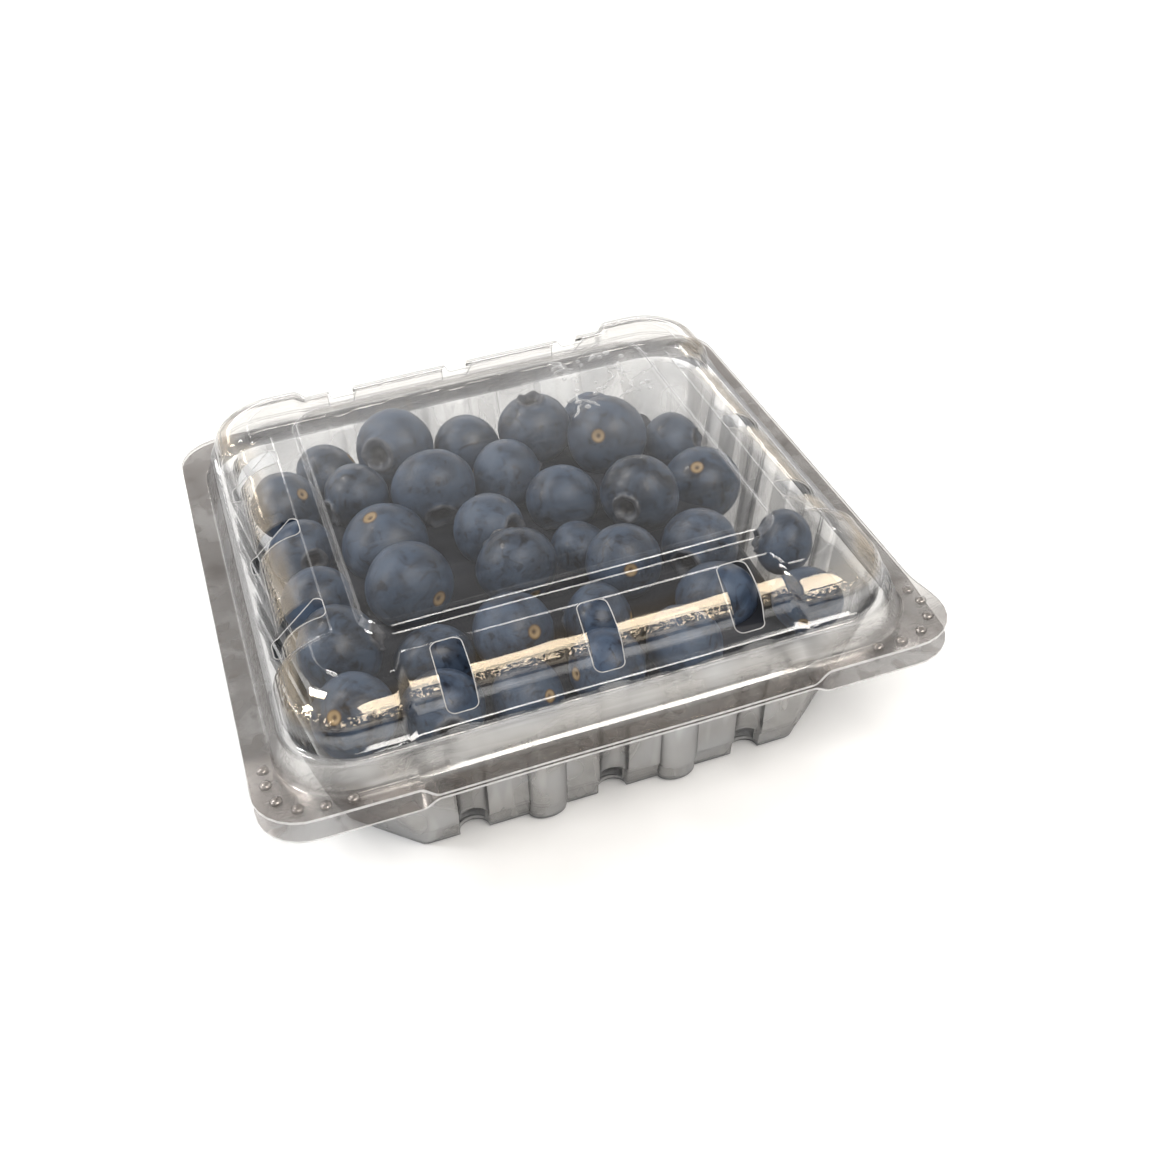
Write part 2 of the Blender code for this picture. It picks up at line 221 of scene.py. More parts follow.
room = {
    "softBoxes": (  # name, place, width, height, radiance, colour
        ("overheadBox", (0.20, -0.50, 0.78), 0.60, 0.48, 8.5, (1.0, 0.965, 0.92)),
        ("topLamp", (-0.48, 0.42, 0.92), 0.20, 0.20, 36.0, (1.0, 0.99, 0.98)),
        ("frontWindow", (0.22, -0.84, 0.56), 0.44, 0.025, 8.0, (1.0, 0.98, 0.95)),
        ("backStrip", (0.10, 1.00, 0.28), 1.60, 0.06, 8.0, (1.0, 0.99, 0.97)),
        ("leftWindow", (-1.00, 0.15, 0.80), 0.14, 0.24, 50.0, (0.95, 0.975, 1.0)),
    ),
    "ceiling": 0.26,
    "sideFill": 0.72,
    "backFill": 1.25,
    "frontDim": 0.85,
    "airColour": (1.0, 0.99, 0.98, 1),
    "floorColours": ((0.93, 0.93, 0.925, 1), (0.95, 0.95, 0.945, 1)),
    "floorSize": 6,
    "bounces": {"max_bounces": 3, "diffuse_bounces": 2, "glossy_bounces": 2, "transparent_max_bounces": 28},
}


def makeLights():
    for name, place, width, height, radiance, colour in room["softBoxes"]:
        bpy.ops.object.light_add(type="AREA", location=place)
        lamp = bpy.context.object
        lamp.name = name
        lamp.rotation_euler = Vector(place).to_track_quat("Z", "Y").to_euler()
        lamp.data.shape = "RECTANGLE"
        lamp.data.size = width
        lamp.data.size_y = height
        lamp.data.energy = radiance * math.pi * width * height
        lamp.data.color = colour


def makeWorld():
    # The sides and the low back are bright, and the low front is dark
    world = bpy.data.worlds.new("softRoom")
    bpy.context.scene.world = world
    world.use_nodes = True
    world.node_tree.nodes.clear()
    wire = Wire(world.node_tree)
    direction = wire.node("TexCoord", {}, {}, "Generated")
    x, y, z = (wire.node("SeparateXYZ", {}, {0: direction}, axis) for axis in "XYZ")
    sides = (x * x).between(0.15, 0.65)
    backLow = y.between(0.15, 0.6) * (1 - z.between(0.42, 0.60))
    frontLow = (y * -1).between(0.3, 0.7) * (1 - z.between(0.42, 0.60))
    level = room["ceiling"] + room["sideFill"] * sides + room["backFill"] * backLow
    level = level * (1 - room["frontDim"] * frontLow)
    shade = wire.node("Background", {}, {"Color": room["airColour"], "Strength": level})
    showSurface(wire, shade, "World")


def makeFloor():
    deselectAll()
    bpy.ops.mesh.primitive_plane_add(size=room["floorSize"])
    floor = bpy.context.object
    floor.name = "floor"
    material, wire, spot = newMaterial("paleFloor")
    grain = wire.noise(spot, 60)
    pale = grain.blendColours(*room["floorColours"])
    showSurface(wire, wire.node("BsdfPrincipled", {}, {"Base Color": pale, "Roughness": 0.85}))
    floor.data.materials.append(material)


makeCamera()
makeLights()
makeWorld()
makeFloor()
bpy.context.scene.view_settings.view_transform = "Standard"
for limit, count in room["bounces"].items():    # the view passes through many thin walls
    setattr(bpy.context.scene.cycles, limit, count)


# Materials
print("Making the materials")

plastic = {
    "lid": {
        "tint": (0.965, 0.960, 0.952, 1), "haze": 0.010, "reflect": 0.056, "paintedEdgeShade": (3.0, 0.28),
        "milk": 0.24, "milky": (0.0264, 0.0306), "scuffs": (60, 2400, 900), "scuffed": 3.5,
        "dusky": 0.11, "sole": 0.0, "crinkled": True,
    },
    "tray": {
        "tint": (0.965, 0.968, 0.972, 1), "haze": 0.012, "reflect": 0.060, "paintedEdgeShade": (2.0, 0.38),
        "milk": 0.26, "milky": (0.0010, 0.0270), "scuffs": (420, 420, 20), "scuffed": 9.0,
        "dusky": 0.10, "sole": 0.16, "crinkled": False,
    },
    "gleam": (0.95, 0.955, 0.96, 1),
    # warm colour of the roll band's painted reflection, also mixed into milky patches
    "warmMilkAndPaintedReflection": (1.0, 0.85, 0.64, 1),
    "dusk": (0.46, 0.42, 0.39, 1),
    # painted shade: the dark gloss colour of edge-on faces and of the tray's floor
    "fold": (0.05, 0.05, 0.06, 1),
}


def makePlastic(name, look):
    # Scuffs are fine streaks, the walls have milky patches that are rubbed dull, and the flange is duskier.
    # Edge-on faces and the tray's floor get painted shade, and the roll band a warm painted reflection
    material, wire, spot = newMaterial(name)
    x, y, height = (wire.node("SeparateXYZ", {}, {0: spot}, axis) for axis in "XYZ")
    outwards = ((x * 20) ** 8.0 + (y * 20) ** 8.0) ** 0.125
    flange = outwards.between(1.080, 1.092)
    low, high = look["milky"]
    above = height.between(low - 0.0006, low + 0.0006)
    wall = above * (1 - height.between(high - 0.0010, high + 0.0006))
    streaked = wire.node("Mapping", {}, {"Vector": spot, "Scale": look["scuffs"]})
    scuffs = wire.noise(streaked, 1.0, 0.0).between(0.54, 0.72)
    patches = wire.noise(spot, 110, 0.0).between(0.25, 0.80)
    milk = wall * (0.60 + 0.55 * patches)
    normal = {}
    if look["crinkled"]:
        band = height.between(0.0354, 0.0360) * (1 - height.between(0.0365, 0.0371))
        relief = wire.noise(spot, 1300, 0.0) * band
        normal["Normal"] = wire.node("Bump", {}, {"Height": relief, "Strength": 0.7, "Distance": 0.0007})
    edgeOn = wire.node("LayerWeight", {}, {"Blend": 0.5, **normal}, "Facing")
    # Painted shade: edge-on faces get more of the gloss layer, whose colour there is dark
    steep, strong = look["paintedEdgeShade"]
    film = look["reflect"] + (1 - look["reflect"]) * edgeOn ** 5.0 + edgeOn ** steep * strong
    film = film + look["haze"] * (0.4 + patches + scuffs * look["scuffed"]) + milk * look["milk"]
    film = film + flange * (0.8 + 0.4 * patches) * look["dusky"]
    # Painted reflection: the roll band's gloss is tinted warm, and milky patches take some of the same warm
    # colour
    roll = height.between(0.0345, 0.0358) * (1 - height.between(0.0384, 0.0390))
    gleam = (roll + milk * 0.3 * (1 - patches)).blendColours(plastic["gleam"], plastic["warmMilkAndPaintedReflection"])
    # Painted shade: the more a face is seen edge-on, the darker its gloss colour
    shade = (edgeOn ** 1.3).blendColours(flange.blendColours(gleam, plastic["dusk"]), plastic["fold"])
    if look["sole"]:
        # the floor lies in the shade of the berries
        sole = 1 - height.between(0.0006, 0.0012)
        film = film + sole * look["sole"]
        shade = (sole * 0.85).blendColours(shade, plastic["fold"])
    film = wire.node("Clamp", {}, {"Value": film})
    gloss = wire.node("BsdfPrincipled", {}, {
        "Base Color": shade, "Metallic": 0.9, "Roughness": 0.03 + milk * 0.28 + scuffs * 0.08, **normal,
    })
    clear = wire.node("BsdfTransparent", {}, {"Color": look["tint"]})
    showSurface(wire, wire.node("MixShader", {}, {0: film, 1: clear, 2: gloss}))
    return material


def makeCutEdge(name):
    # Where the sheet is cut it is dull and whitish, and the whitish colour also paints the bright highlight
    # line along each cut edge
    material, wire, spot = newMaterial(name)
    grain = wire.noise(spot, 900, 3.0)
    white = grain.blendColours((0.62, 0.61, 0.60, 1), (0.86, 0.86, 0.86, 1))
    gloss = wire.node("BsdfPrincipled", {}, {"Base Color": white, "Roughness": 0.25 + grain * 0.2})
    clear = wire.node("BsdfTransparent", {}, {"Color": (0.9, 0.9, 0.9, 1)})
    showSurface(wire, wire.node("MixShader", {}, {0: 0.40 + grain * 0.35, 1: clear, 2: gloss}))
    return material


def makeBerrySkin():
    material, wire, spot = newMaterial("berrySkin")
    crown = wire.node("Attribute", {"attribute_name": "crown"}, {}, "Fac")
    scar = wire.node("Attribute", {"attribute_name": "scar"}, {}, "Fac")
    tone = wire.node("Attribute", {"attribute_name": "tone"}, {}, "Fac")
    cloud = wire.noise(spot, 190, 4.0, 0.8).between(0.32, 0.68)
    speck = wire.noise(spot, 1600, 3.0, 0.2)
    rubbed = wire.noise(spot, 360, 4.0, 1.6).between(0.52, 0.70)
    bloom = cloud * 0.62 + speck * 0.30 + tone * 0.34 - rubbed * 0.42
    bloom = wire.node("Clamp", {}, {"Value": bloom})
    skin = tone.blendColours((0.004, 0.006, 0.013, 1), (0.009, 0.008, 0.015, 1))
    colour = bloom.blendColours(skin, (0.060, 0.092, 0.150, 1))
    rim = crown.between(0.05, 0.45) * (1 - crown.between(0.55, 0.95))
    frayed = speck.blendColours((0.035, 0.038, 0.045, 1), (0.13, 0.13, 0.14, 1))
    colour = (rim * 0.8).blendColours(colour, frayed)
    crater = speck.blendColours((0.004, 0.004, 0.005, 1), (0.030, 0.024, 0.020, 1))
    colour = crown.between(0.55, 1.0).blendColours(colour, crater)
    ring = scar.between(0.10, 0.45) * (1 - scar.between(0.55, 0.95))
    scarShade = ring.blendColours((0.085, 0.045, 0.020, 1), (0.34, 0.24, 0.12, 1))
    colour = scar.between(0.02, 0.25).blendColours(colour, scarShade)
    roughness = 0.30 + bloom * 0.24 + scar * 0.2
    relief = speck * 0.5 + rubbed * 0.3
    bump = wire.node("Bump", {}, {"Height": relief, "Strength": 0.25, "Distance": 0.0002})
    showSurface(wire, wire.node("BsdfPrincipled", {}, {
        "Base Color": colour, "Roughness": roughness, "Normal": bump,
    }))
    return material


def makeShadedCoreSkin():
    # Painted shade: the block that fills the heap's inside is darker than the berries, as the berries deep in
    # the heap lie in shade
    material, wire, spot = newMaterial("shadedDeepBerrySkin")
    cloud = wire.noise(spot, 200, 3.0)
    colour = cloud.blendColours((0.006, 0.007, 0.012, 1), (0.016, 0.019, 0.030, 1))
    showSurface(wire, wire.node("BsdfPrincipled", {}, {"Base Color": colour, "Roughness": 0.6}))
    return material


def makeWater():
    material, wire, spot = newMaterial("condensedWater")
    edgeOn = wire.node("LayerWeight", {}, {"Blend": 0.5}, "Facing")
    film = 0.20 + 0.70 * edgeOn ** 2.0
    ripple = wire.noise(spot, 900)
    # Painted highlight: the whitish base colour makes the clear drops show as bright glints
    gloss = wire.node("BsdfPrincipled", {}, {
        "Base Color": (0.80, 0.81, 0.82, 1), "Metallic": 0.0, "Roughness": 0.04 + ripple * 0.05,
    })
    clear = wire.node("BsdfTransparent", {}, {"Color": (0.98, 0.98, 0.98, 1)})
    showSurface(wire, wire.node("MixShader", {}, {0: film, 1: clear, 2: gloss}))
    return material


def dress(piece, *materials):
    piece.data.materials.clear()
    for material in materials:
        piece.data.materials.append(material)


lidPlastic = makePlastic("lidPlastic", plastic["lid"])
trayPlastic = makePlastic("trayPlastic", plastic["tray"])
cutEdgeHighlight = makeCutEdge("cutEdgeHighlight")


# The plan of the pack: columns run round it, and rings run from the middle to the flange
def cornerPoint(angle, half, radius, cut=pack["uncut"]):
    # A ray from the corner's pivot, `angle` degrees round from straight out, meets a rounded square whose
    # corner is cut off straight where x and y together reach `cut`
    direction = Vector((math.sin(math.radians(angle)), -math.cos(math.radians(angle))))
    x, y = roundedPoint(direction, half, radius)
    over = max(x - y - cut, 0.0) / (direction.x - direction.y)
    return x - over * direction.x, y - over * direction.y


def roundedPoint(direction, half, radius):
    sideEnd = pack["sideEnd"]
    straight = half - radius
    out = (half - sideEnd) / -direction.y
    if sideEnd + out * direction.x <= straight:
        return sideEnd + out * direction.x, -half
    across = (half - sideEnd) / direction.x
    if sideEnd - across * direction.y <= straight:
        return half, -sideEnd + across * direction.y
    offset = sideEnd - straight
    along = offset * (direction.x - direction.y)
    reach = -along + math.sqrt(along * along - 2 * offset * offset + radius * radius)
    return sideEnd + reach * direction.x, -sideEnd + reach * direction.y


def turned(point, quarter):
    x, y = point
    for _ in range(quarter):
        x, y = -y, x
    return x, y


def evenSteps(first, last, spacing):
    count = max(round((last - first) / spacing), 1)
    return [first + (last - first) * step / count for step in range(count + 1)]


def planColumns(sidePositions):
    # Every column as (quarter, place along the side or None, angle round the corner or None, dome share)
    step = pack["domeStep"]
    angles = evenSteps(0, step, 1.0)[1:] + evenSteps(step, 90 - step, pack["cornerSpacing"])[1:]
    angles += evenSteps(90 - step, 90, 1.0)[1:-1]
    columns = []
    for quarter in range(4):
        for position in sidePositions:
            columns.append((quarter, position, None, 0.0))
        for angle in angles:
            share = smoothShare(angle / step) * smoothShare((90 - angle) / step)
            columns.append((quarter, None, angle, share))
    return columns


def tabWeight(x, y):
    sideways = smoothShare((abs(x) - pack["tabStart"]) / pack["tabBlend"])
    forward = smoothShare((-y - pack["tabBack"]) / pack["tabFade"])
    return sideways * forward


def softenPath(path, steps=4):
    # Each inner station becomes a short curve, as long as the bend that it states
    made = [path[0][1]]
    for before, here, after in zip(path, path[1:], path[2:]):
        bend, middle = here
        if bend == 0:
            made.append(middle)
            continue
        ends = []
        for other in (before[1], after[1]):
            length = math.hypot(other[0] - middle[0], other[1] - middle[1])
            share = min(bend / length, 0.49)
            ends.append([m + (o - m) * share for m, o in zip(middle, other)])
        for step in range(steps + 1):
            t = step / steps
            weights = ((1 - t) ** 2, 2 * t * (1 - t), t * t)
            trios = zip(ends[0], middle, ends[1])
            made.append([sum(w * v for w, v in zip(weights, trio)) for trio in trios])
    made.append(path[-1][1])
    return made


def station(side, corner, radius, tab=0.0, ribLow=0.0, ribs=0.0, cut=pack["uncut"]):
    # One ring: (half width, height) along the sides and at the corners, and what shapes it
    return [*side, *corner, radius, tab, ribLow, ribs, cut]


def noRibs(position, low):
    return 0.0


def sheetWave(x, y, z):
    # Slow waves shared by lid and tray, so their flanges stay apart
    spot = Vector((x, y, 0)) / pack["waveLength"]
    return noise.noise(spot) * pack["waveSize"]


def ringPoint(scale, values, column, ribShape):
    sideHalf, sideZ, cornerHalf, cornerZ, radius, tab, ribLow, ribs, cut = values
    quarter, position, angle, share = column
    half = sideHalf + (cornerHalf - sideHalf) * share
    z = sideZ + (cornerZ - sideZ) * share
    if angle is None:
        point = (position, -half - ribs * ribShape(position, ribLow))
    else:
        point = cornerPoint(angle, half, radius, cut)
    x, y = turned(point, quarter)
    x, y = x * scale, y * scale
    return Vector((x, y, z + tab * tabWeight(x, y)))


def wrapSheet(name, columns, rings, shape, opening=None):
    # A flat grid is wrapped round the form: its rows become rings, and its first row closes in the middle
    deselectAll()
    bpy.ops.mesh.primitive_grid_add(x_subdivisions=len(columns), y_subdivisions=len(rings) - 1, size=1)
    sheet = bpy.context.object
    sheet.name = name
    across = len(columns) + 1
    for vert in sheet.data.vertices:
        row, place = divmod(vert.index, across)
        scale, values = rings[row]
        vert.co = shape(scale, values, columns[place % len(columns)]) * mm
    bpy.context.tool_settings.mesh_select_mode = (True, False, False)
    bpy.ops.object.mode_set(mode="EDIT")
    bpy.ops.mesh.select_all(action="SELECT")
    bpy.ops.mesh.remove_doubles(threshold=0.00001)
    bpy.ops.mesh.normals_make_consistent(inside=False)
    bpy.ops.mesh.select_all(action="DESELECT")
    if opening:
        bpy.context.tool_settings.mesh_select_mode = (False, False, True)
        bpy.ops.object.mode_set(mode="OBJECT")
        for face in sheet.data.polygons:
            face.select = opening(face.center / mm)
        bpy.ops.object.mode_set(mode="EDIT")
        bpy.ops.mesh.delete(type="FACE")
    bpy.ops.object.mode_set(mode="OBJECT")
    return sheet


def thicken(sheet, thickness, material):
    # The sheet gets its thickness, and its cut edges their own dull, whitish look, which is partly a painted
    # highlight line
    dress(sheet, material, cutEdgeHighlight)
    settings = {"thickness": thickness * mm, "offset": 0.0, "use_even_offset": True, "material_offset_rim": 1}
    applyModifier(sheet, "sheet", "SOLIDIFY", **settings)


def shadeSmooth(piece, degrees, flatten=False):
    # Flattening lets the large faces set the normals, so each fold of the sheet shines in a thin line
    pick(piece)
    bpy.ops.object.shade_smooth_by_angle(angle=math.radians(degrees))
    if flatten:
        applyModifier(piece, "evenNormals", "WEIGHTED_NORMAL", keep_sharp=True)


# Lid
print("Forming the lid")

lid = {
    "sheet": 0.42,
    "top": 41.0,
    "panelHalf": 35.0,
    "panelCorner": 5.0,
    "panelStep": 1.4,
    "panelDraft": 0.8,
    "rollStep": 0.22,
    "sideRoll": (40.6, 48.4, 33.0),
    "cornerRoll": (44.4, 50.9, 32.2),
    "rollCorners": (9.0, 11.0),
    "rollSteps": 14,
    "flangeZ": 25.45,
    "tabLift": 2.0,
    "slotSpacing": 24.0,
    "slotWidth": 5.1,
    "slotInner": 40.0,
    "slotOuter": 49.7,
    "slotCorner": 1.3,
    "slotEdge": 0.09,
    "snapPlace": 30.6,
    "snapZ": 28.0,
    "snapSize": (6.2, 2.0),
    "snapDepth": 1.3,
    "snapRipple": (0.20, 1.1),
    "dotSize": (1.0, 0.55),
}


def lidRings():
    top = lid["top"] - lid["sheet"] / 2
    plateau = top - lid["panelStep"]
    half, draft, corner = lid["panelHalf"], lid["panelDraft"], lid["panelCorner"]
    sideStart, sideEnd, sideFoot = lid["sideRoll"]
    cornerStart, cornerEnd, cornerFoot = lid["cornerRoll"]
    rollTop = plateau - lid["rollStep"]
    near, far = lid["rollCorners"]
    path = [
        (0, station((half - 1.6, top), (half - 1.6, top), corner - 1.4)),
        (0.25, station((half - 0.9, top + 0.05), (half - 0.9, top + 0.05), corner - 0.8)),
        (0.3, station((half - 0.1, top), (half - 0.1, top), corner)),
        (0.3, station((half + draft, plateau), (half + draft, plateau), corner + draft)),
        (0.12, station((sideStart - 0.7, plateau), (cornerStart - 0.7, plateau), 8.4)),
        (0.12, station((sideStart - 0.4, rollTop), (cornerStart - 0.4, rollTop), 8.7)),
    ]
    for step in range(lid["rollSteps"] + 1):
        turn = math.radians(90 * step / lid["rollSteps"])
        out, down = math.sin(turn), math.cos(turn)
        side = (sideStart + (sideEnd - sideStart) * out, sideFoot + (rollTop - sideFoot) * down)
        dome = (cornerStart + (cornerEnd - cornerStart) * out, cornerFoot + (rollTop - cornerFoot) * down)
        path.append((0, station(side, dome, near + (far - near) * turn / (math.pi / 2))))
    flange = lid["flangeZ"]
    path += [
        (0.2, station((50.0, 32.5), (51.5, 31.8), 11.0)),
        (0.2, station((51.3, 31.8), (51.9, 31.3), 11.0)),
        (0.2, station((52.0, 30.5), (52.0, 30.5), 11.0)),
    ]
    for z in evenSteps(30.1, 26.9, 0.4):
        half = 52.1 + (30.1 - z) * 0.4
        path.append((0, station((half, z), (half, z), 11.1 + (30.1 - z) * 0.2)))
    path += [
        (0.3, station((54.0, flange), (54.0, flange), 12.0, tab=0.3 * lid["tabLift"])),
        (0, station((56.6, flange), (56.6, flange), 10.0, tab=0.75 * lid["tabLift"])),
        (0, station((58.3, flange), (58.3, flange), 8.5, tab=lid["tabLift"])),
    ]
    rings = softenPath(path)
    return [(scale, rings[0]) for scale in (0, 0.2, 0.4, 0.6, 0.8, 0.93)] + [(1, ring) for ring in rings]


def lidPoint(scale, values, column):
    point = ringPoint(scale, values, column, noRibs)
    x, y, z = point
    point.z += sheetWave(x, y, z)
    if 33.5 < z < 39.0:
        point += noise.noise_vector(point / pack["crinkleLength"]) * pack["crinkleSize"]
    if -54.3 < y < -50 and z > 26.5:
        # the two snap locks pressed out of the front wall
        across, up = (abs(x) - lid["snapPlace"]) / lid["snapSize"][0], (z - lid["snapZ"]) / lid["snapSize"][1]
        ripple, length = lid["snapRipple"]
        raised = smoothShare(1.6 - 1.6 * math.hypot(across, up))
        point.y -= raised * (lid["snapDepth"] + ripple * math.sin(math.tau * z / length))
    return point


def slotPlaces():
    spacing = lid["slotSpacing"]
    return [(quarter, middle) for quarter in range(4) for middle in (-spacing, 0.0, spacing)]


def slotOutline(steps=6):
    # Plan outline of the middle slot of the front side
    corner = lid["slotCorner"]
    half = lid["slotWidth"] / 2 - corner
    inner, outer = -lid["slotInner"] - corner, -lid["slotOuter"] + corner
    outline = []
    for quarter, (x, y) in enumerate(((half, inner), (-half, inner), (-half, outer), (half, outer))):
        for step in range(steps + 1):
            turn = math.radians(90 * (quarter + step / steps))
            outline.append((x + corner * math.cos(turn), y + corner * math.sin(turn)))
        if quarter == 1:
            outline += [(-half - corner, place) for place in evenSteps(inner, outer, 0.7)[1:-1]]
        if quarter == 3:
            outline += [(half + corner, place) for place in evenSteps(outer, inner, 0.7)[1:-1]]
    return outline


def cutSlots(shell):
    corner = lid["slotCorner"]
    length = lid["slotOuter"] - lid["slotInner"]
    cutters = []
    for quarter, middle in slotPlaces():
        deselectAll()
        bpy.ops.mesh.primitive_cube_add(size=1, scale=(lid["slotWidth"] * mm, length * mm, 14 * mm))
        cutter = bpy.context.object
        for edge in cutter.data.edges:
            first, second = (cutter.data.vertices[index].co for index in edge.vertices)
            edge.select = abs(first.z - second.z) > mm
        bpy.context.tool_settings.mesh_select_mode = (False, True, False)
        bpy.ops.object.mode_set(mode="EDIT")
        bpy.ops.mesh.bevel(offset=corner * mm, segments=6, affect="EDGES")
        bpy.ops.object.mode_set(mode="OBJECT")
        for vert in cutter.data.vertices:
            x, y = vert.co.x / mm + middle, vert.co.y / mm - lid["slotInner"] - length / 2
            x, y = turned((x, y), quarter)
            vert.co = Vector((x, y, vert.co.z / mm + 36)) * mm
        cutters.append(cutter)
    cutter = joinPieces("slotCutter", cutters)
    applyModifier(shell, "slots", "BOOLEAN", operation="DIFFERENCE", solver="EXACT", object=cutter)
    bpy.data.objects.remove(cutter)


def sideHeights(rings):
    return [(values[0], values[1]) for scale, values in rings if scale == 1]


def heightAt(profile, half):
    for (nearHalf, nearZ), (farHalf, farZ) in zip(profile, profile[1:]):
        if nearHalf <= half <= farHalf:
            return nearZ + (farZ - nearZ) * (half - nearHalf) / max(farHalf - nearHalf, 0.0001)
    return profile[-1][1]


def makeSlotEdges(rings):
    # Thin whitish tubes along each slot's outline paint the slot's bright edge highlight
    profile = sideHeights(rings)
    curve = newCurve("slotEdges", lid["slotEdge"])
    outline = slotOutline()
    for quarter, middle in slotPlaces():
        spline = curve.splines.new("POLY")
        spline.points.add(len(outline) - 1)
        spline.use_cyclic_u = True
        for place, (x, y) in zip(spline.points, outline):
            z = heightAt(profile, -y)
            px, py = turned((x + middle, y), quarter)
            place.co = (px * mm, py * mm, (z + sheetWave(px, py, z)) * mm, 1)
    edges = curveToMesh(curve)
    shadeSmooth(edges, 60)
    return edges


def makeTabDots():
    # Plain raised dots in a row along the rim of each finger tab
    wide, tall = lid["dotSize"]
    dots = []
    for side in (-1, 1):
        for step in range(6):
            angle = 27 + 7.2 * step
            x, y = cornerPoint(angle, pack["flangeHalf"] - 2.6, pack["flangeCorner"] - 1)
            x *= side
            z = lid["flangeZ"] + 0.8 * lid["tabLift"] * tabWeight(x, y) + lid["sheet"] / 2
            deselectAll()
            bpy.ops.mesh.primitive_uv_sphere_add(segments=14, ring_count=8, radius=1)
            dot = bpy.context.object
            for vert in dot.data.vertices:
                place = Vector((x, y, z + sheetWave(x, y, z)))
                vert.co = (place + vert.co * Vector((wide, wide, tall))) * mm
            dress(dot, lidPlastic)
            dots.append(dot)
    return dots


columns = planColumns(evenSteps(-pack["sideEnd"], pack["sideEnd"], pack["sideSpacing"]))
rings = lidRings()
lidShell = wrapSheet("lidShell", columns, rings, lidPoint)
thicken(lidShell, lid["sheet"], lidPlastic)
cutSlots(lidShell)
lidShell = joinPieces("lidShell", [lidShell, *makeTabDots()])
shadeSmooth(lidShell, 38, flatten=True)
slotEdges = makeSlotEdges(rings)
dress(slotEdges, cutEdgeHighlight)


# Tray
print("Forming the tray")

tray = {
    "sheet": 0.42,
    "floorFlat": 40.0,
    "floorHalf": 44.0,
    "floorCorner": 12.0,
    "cornerCut": (77.5, 94.5),
    "ledgeHalf": 46.0,
    "ledgeZ": 4.8,
    "rimHalf": 50.3,
    "rimZ": 30.0,
    "rimCorner": 10.5,
    "flangeZ": 24.65,
    "tabDrop": 1.3,
    "grooves": (-24.8, 0.0, 24.8),
    "grooveDepth": (2.5, 0.9),
    "grooveWidth": 5.6,
    "feet": (-11.8, 11.8),
    "footBulge": (2.1, 0.55),
    "footWidth": 6.4,
    "ribSteps": 12,
    "ventHeights": (0.95, 4.2),
}


def ribShape(position, low):
    # Half-round grooves stand in and half-round feet stand out, less towards the rim
    shift = 0.0
    for middles, width, sizes, way in (
        (tray["grooves"], tray["grooveWidth"], tray["grooveDepth"], -1),
        (tray["feet"], tray["footWidth"], tray["footBulge"], 1),
    ):
        for middle in middles:
            across = min(abs(position - middle) / (width / 2), 1.0)
            shift += way * (sizes[1] + (sizes[0] - sizes[1]) * low) * math.sqrt(1 - across * across)
    return shift


def traySidePositions():
    # Columns lie closest where a rib meets the flat wall
    places = {-pack["sideEnd"], pack["sideEnd"]}
    for middles, width in ((tray["grooves"], tray["grooveWidth"]), (tray["feet"], tray["footWidth"])):
        for middle in middles:
            for step in range(tray["ribSteps"] + 1):
                places.add(round(middle + width / 2 * math.cos(math.pi * step / tray["ribSteps"]), 4))
    places = sorted(places)
    for near, far in zip(places[:-1], places[1:]):
        places += evenSteps(near, far, 1.6)[1:-1]
    return sorted(places)


def cornerCut(z):
    # The tray's corners are cut most at the floor, and not at all at the rim
    low, high = tray["cornerCut"]
    return low + (high - low) * z / tray["rimZ"]


def trayRings():
    floor = tray["sheet"] / 2
    flange = tray["flangeZ"]
    corner, rimCorner = tray["floorCorner"], tray["rimCorner"]
    ledge, ledgeZ, rim, rimZ = tray["ledgeHalf"], tray["ledgeZ"], tray["rimHalf"], tray["rimZ"]

    def both(half, z, radius, **rest):
        cut = cornerCut(z) if half < rim else pack["uncut"]
        return station((half, z), (half, z), radius, cut=cut, **rest)

    path = [
        (0, both(tray["floorFlat"], floor, corner)),
        (0, both(tray["floorHalf"] - 1.2, floor, corner, ribLow=1, ribs=0.9)),
        (0.5, both(tray["floorHalf"] + 0.3, floor + 0.05, corner, ribLow=1, ribs=1)),
        (0, both(44.6, 0.95, corner, ribLow=1, ribs=1)),
        (0, both(44.9, 2.6, corner, ribLow=1, ribs=1)),
        (0.25, both(ledge - 0.7, ledgeZ - 0.5, corner, ribLow=1, ribs=1)),
        (0.25, both(ledge, ledgeZ, corner, ribLow=1, ribs=1)),
    ]
    for share in (0.15, 0.35, 0.55, 0.75, 0.9):
        half, z = ledge + (rim - ledge) * share, ledgeZ + (rimZ - 0.4 - ledgeZ) * share
        path.append((0, both(half, z, corner + (rimCorner - corner) * share, ribLow=1 - share, ribs=1)))
    path += [
        (0.5, both(rim, rimZ - 0.2, rimCorner, ribs=1)),
        (0.3, both(rim + 0.9, rimZ, rimCorner + 0.4)),
        (0, both(rim + 1.3, 28.6, rimCorner + 0.6)),
        (0.4, both(52.6, 25.3, rimCorner + 1)),
        (0.4, both(53.4, flange, rimCorner + 1, tab=-0.3 * tray["tabDrop"])),
        (0, both(56.4, flange, 9.6, tab=-0.75 * tray["tabDrop"])),
        (0, both(58.3, flange, 8.5, tab=-tray["tabDrop"])),
    ]
    rings = softenPath(path)
    return [(scale, rings[0]) for scale in (0, 0.25, 0.5, 0.75, 0.9)] + [(1, ring) for ring in rings]


def trayPoint(scale, values, column):
    point = ringPoint(scale, values, column, ribShape)
    if point.z > 20:
        point.z += sheetWave(point.x, point.y, point.z)
    return point


def isVent(middle):
    low, high = tray["ventHeights"]
    if not low < middle.z < high:
        return False
    along = middle.x if abs(middle.y) > abs(middle.x) else middle.y
    reach = tray["grooveWidth"] / 2 - 0.5
    return any(abs(along - groove) < reach for groove in tray["grooves"])


